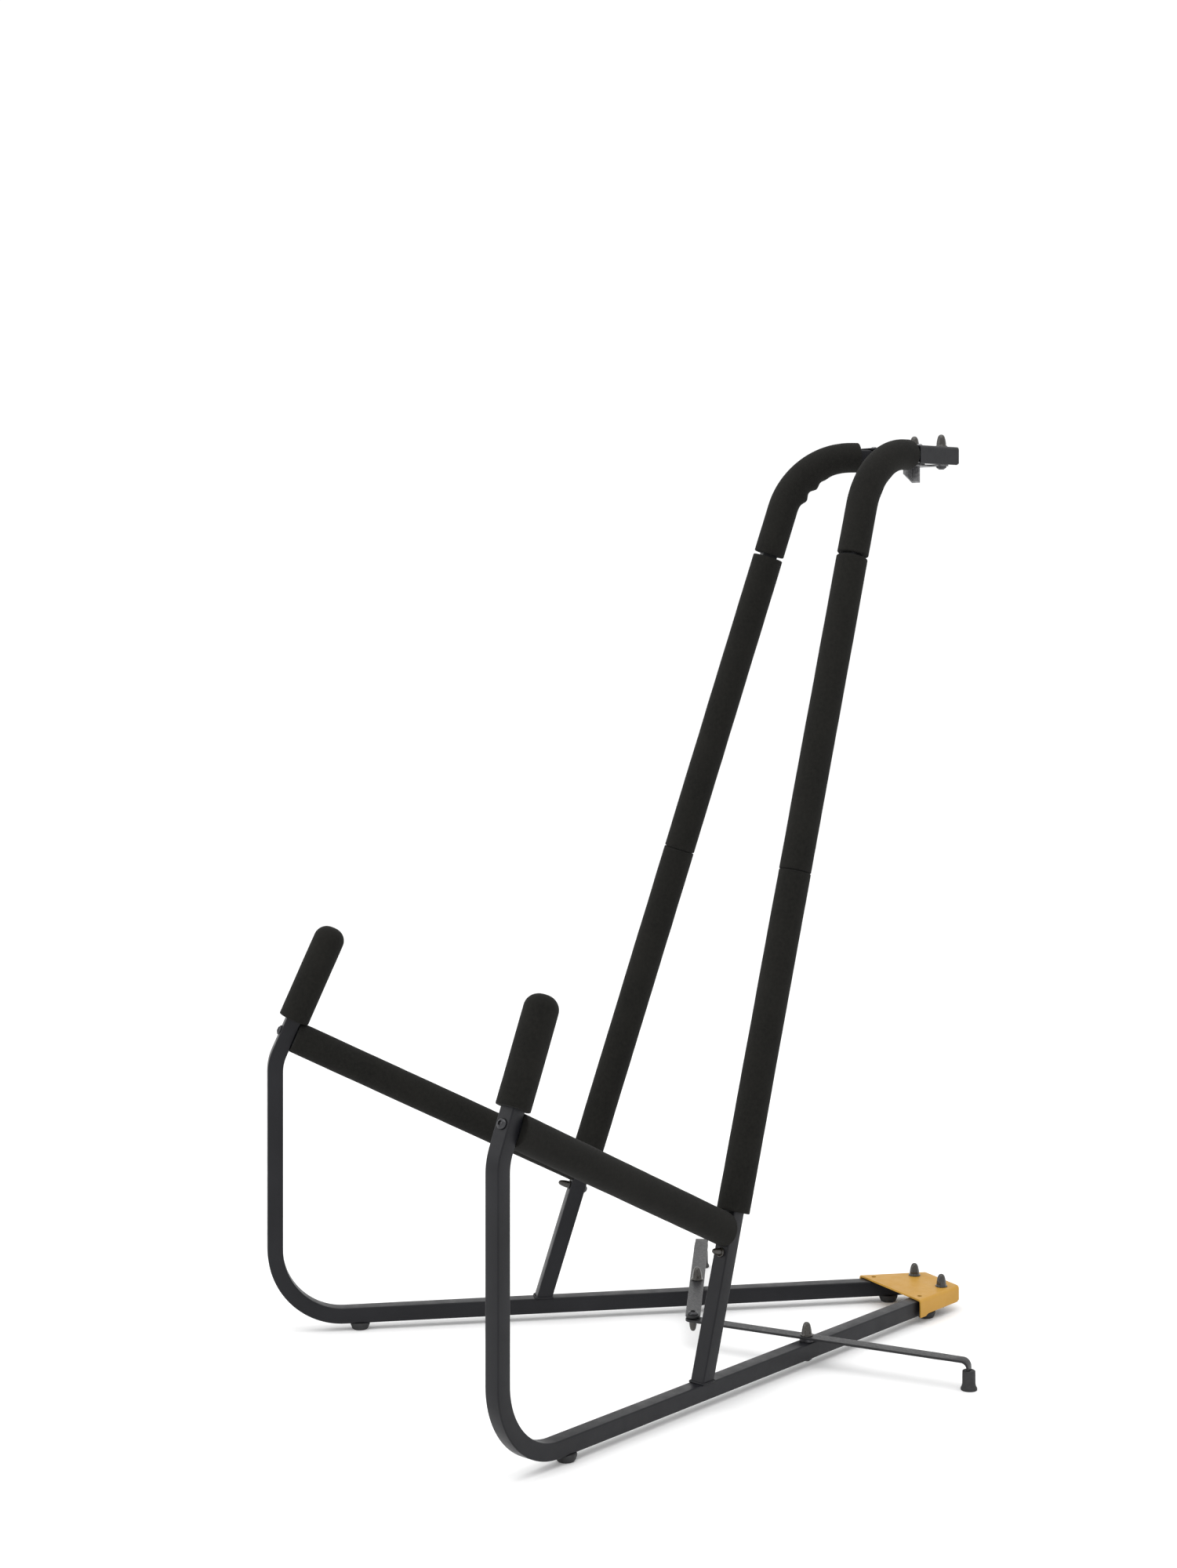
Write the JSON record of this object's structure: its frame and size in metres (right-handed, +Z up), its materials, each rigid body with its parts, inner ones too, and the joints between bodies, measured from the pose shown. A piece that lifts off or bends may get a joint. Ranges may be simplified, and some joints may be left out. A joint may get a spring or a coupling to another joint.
{
  "type": "folding two-frame instrument stand",
  "caption": "Folding floor stand for a guitar: two foam-sleeved tube frames in a V, hinged on a flat bracket at top and bottom, with swing-out outrigger arms.",
  "frame": {"origin": "on the floor, at the middle of the whole stand's width and depth", "axes": "+Z up; the hooks open towards -Y, the hinge brackets are at +Y; the left and right frames mirror each other in the plane X = 0"},
  "size_m": [0.6542, 0.8463, 1.1685],
  "materials": {
    "black_powder_coat": "satin black powder coat with a fine orange peel",
    "gold_powder_coat": "satin ochre-gold powder coat",
    "foam_rubber": "matt closed-cell foam, faint warm charcoal",
    "gunmetal_coat": "dark gunmetal satin coat on flat steel bar",
    "cap_plastic": "glossy smoky black moulded plastic",
    "foot_rubber": "matt black moulded rubber",
    "black_bolt_steel": "black oxide fastener steel",
    "grey_steel": "plain zinc-grey steel",
    "plug_plastic": "matt black moulded plastic"
  },
  "bodies": {
    "brackets": {"base_plate": "gold_powder_coat", "top_plate": "black_powder_coat", "pivot_strap": "grey_steel", "stop_tab": "grey_steel", "right_lower_pivot_bolt": "black_bolt_steel", "right_lower_pivot_cap_nut": "cap_plastic", "right_upper_pivot_bolt": "black_bolt_steel", "right_upper_pivot_cap_nut": "cap_plastic", "right_detent_pin": "grey_steel", "left_lower_pivot_bolt": "black_bolt_steel", "left_lower_pivot_cap_nut": "cap_plastic", "left_upper_pivot_bolt": "black_bolt_steel", "left_upper_pivot_cap_nut": "cap_plastic", "left_detent_pin": "grey_steel"},
    "right_frame": {"right_frame_tube": "black_powder_coat", "right_back_tube": "black_powder_coat", "right_seat_tube": "black_powder_coat", "right_seat_foam": "foam_rubber", "right_hook_foam": "foam_rubber", "right_lower_back_foam": "foam_rubber", "right_upper_back_foam": "foam_rubber", "right_top_foam": "foam_rubber", "right_hook_screw": "black_bolt_steel", "right_seat_insert": "black_bolt_steel", "right_post_bolt": "black_bolt_steel", "right_post_cap_nut": "cap_plastic", "right_base_end_plug": "plug_plastic", "right_top_end_plug": "plug_plastic", "right_front_foot": "foot_rubber", "right_rear_foot": "foot_rubber", "right_outrigger_bolt": "black_bolt_steel", "right_outrigger_cap_nut": "cap_plastic", "right_outrigger_spacer": "black_bolt_steel"},
    "right_outrigger": {"right_outrigger_arm": "gunmetal_coat", "right_outrigger_foot": "foot_rubber", "center_cap_nut": "cap_plastic"},
    "left_frame": {"left_frame_tube": "black_powder_coat", "left_back_tube": "black_powder_coat", "left_seat_tube": "black_powder_coat", "left_seat_foam": "foam_rubber", "left_hook_foam": "foam_rubber", "left_lower_back_foam": "foam_rubber", "left_upper_back_foam": "foam_rubber", "left_top_foam": "foam_rubber", "left_hook_screw": "black_bolt_steel", "left_seat_insert": "black_bolt_steel", "left_post_bolt": "black_bolt_steel", "left_post_cap_nut": "cap_plastic", "left_base_end_plug": "plug_plastic", "left_top_end_plug": "plug_plastic", "left_front_foot": "foot_rubber", "left_rear_foot": "foot_rubber", "left_outrigger_bolt": "black_bolt_steel", "left_outrigger_cap_nut": "cap_plastic", "left_outrigger_spacer": "black_bolt_steel"},
    "left_outrigger": {"left_outrigger_arm": "gunmetal_coat", "left_outrigger_foot": "foot_rubber", "center_bolt": "black_bolt_steel"}
  },
  "joints": [
    {"name": "right_frame_fold", "type": "hinge", "parent": "brackets", "child": "right_frame", "pos_m": [0.0298, 0.4005, 0.03], "axis": [0, 0, -1], "range_deg": [0, 19.3]},
    {"name": "left_frame_fold", "type": "hinge", "parent": "brackets", "child": "left_frame", "pos_m": [-0.0298, 0.4005, 0.03], "axis": [0, 0, 1], "range_deg": [0, 19.3]},
    {"name": "right_outrigger_swing", "type": "hinge", "parent": "right_frame", "child": "right_outrigger", "pos_m": [0.12957, 0.11652, 0.0349], "axis": [0, 0, 1], "range_deg": [0, 64.65]},
    {"name": "left_outrigger_swing", "type": "hinge", "parent": "left_frame", "child": "left_outrigger", "pos_m": [-0.12957, 0.11652, 0.0401], "axis": [0, 0, -1], "range_deg": [0, 64.65]}
  ],
  "couplings": [
    {"joint": "left_frame_fold", "follows": "right_frame_fold", "ratio": 1},
    {"joint": "right_outrigger_swing", "follows": "right_frame_fold", "ratio": 3.3409},
    {"joint": "left_outrigger_swing", "follows": "right_frame_fold", "ratio": 3.3409}
  ]
}
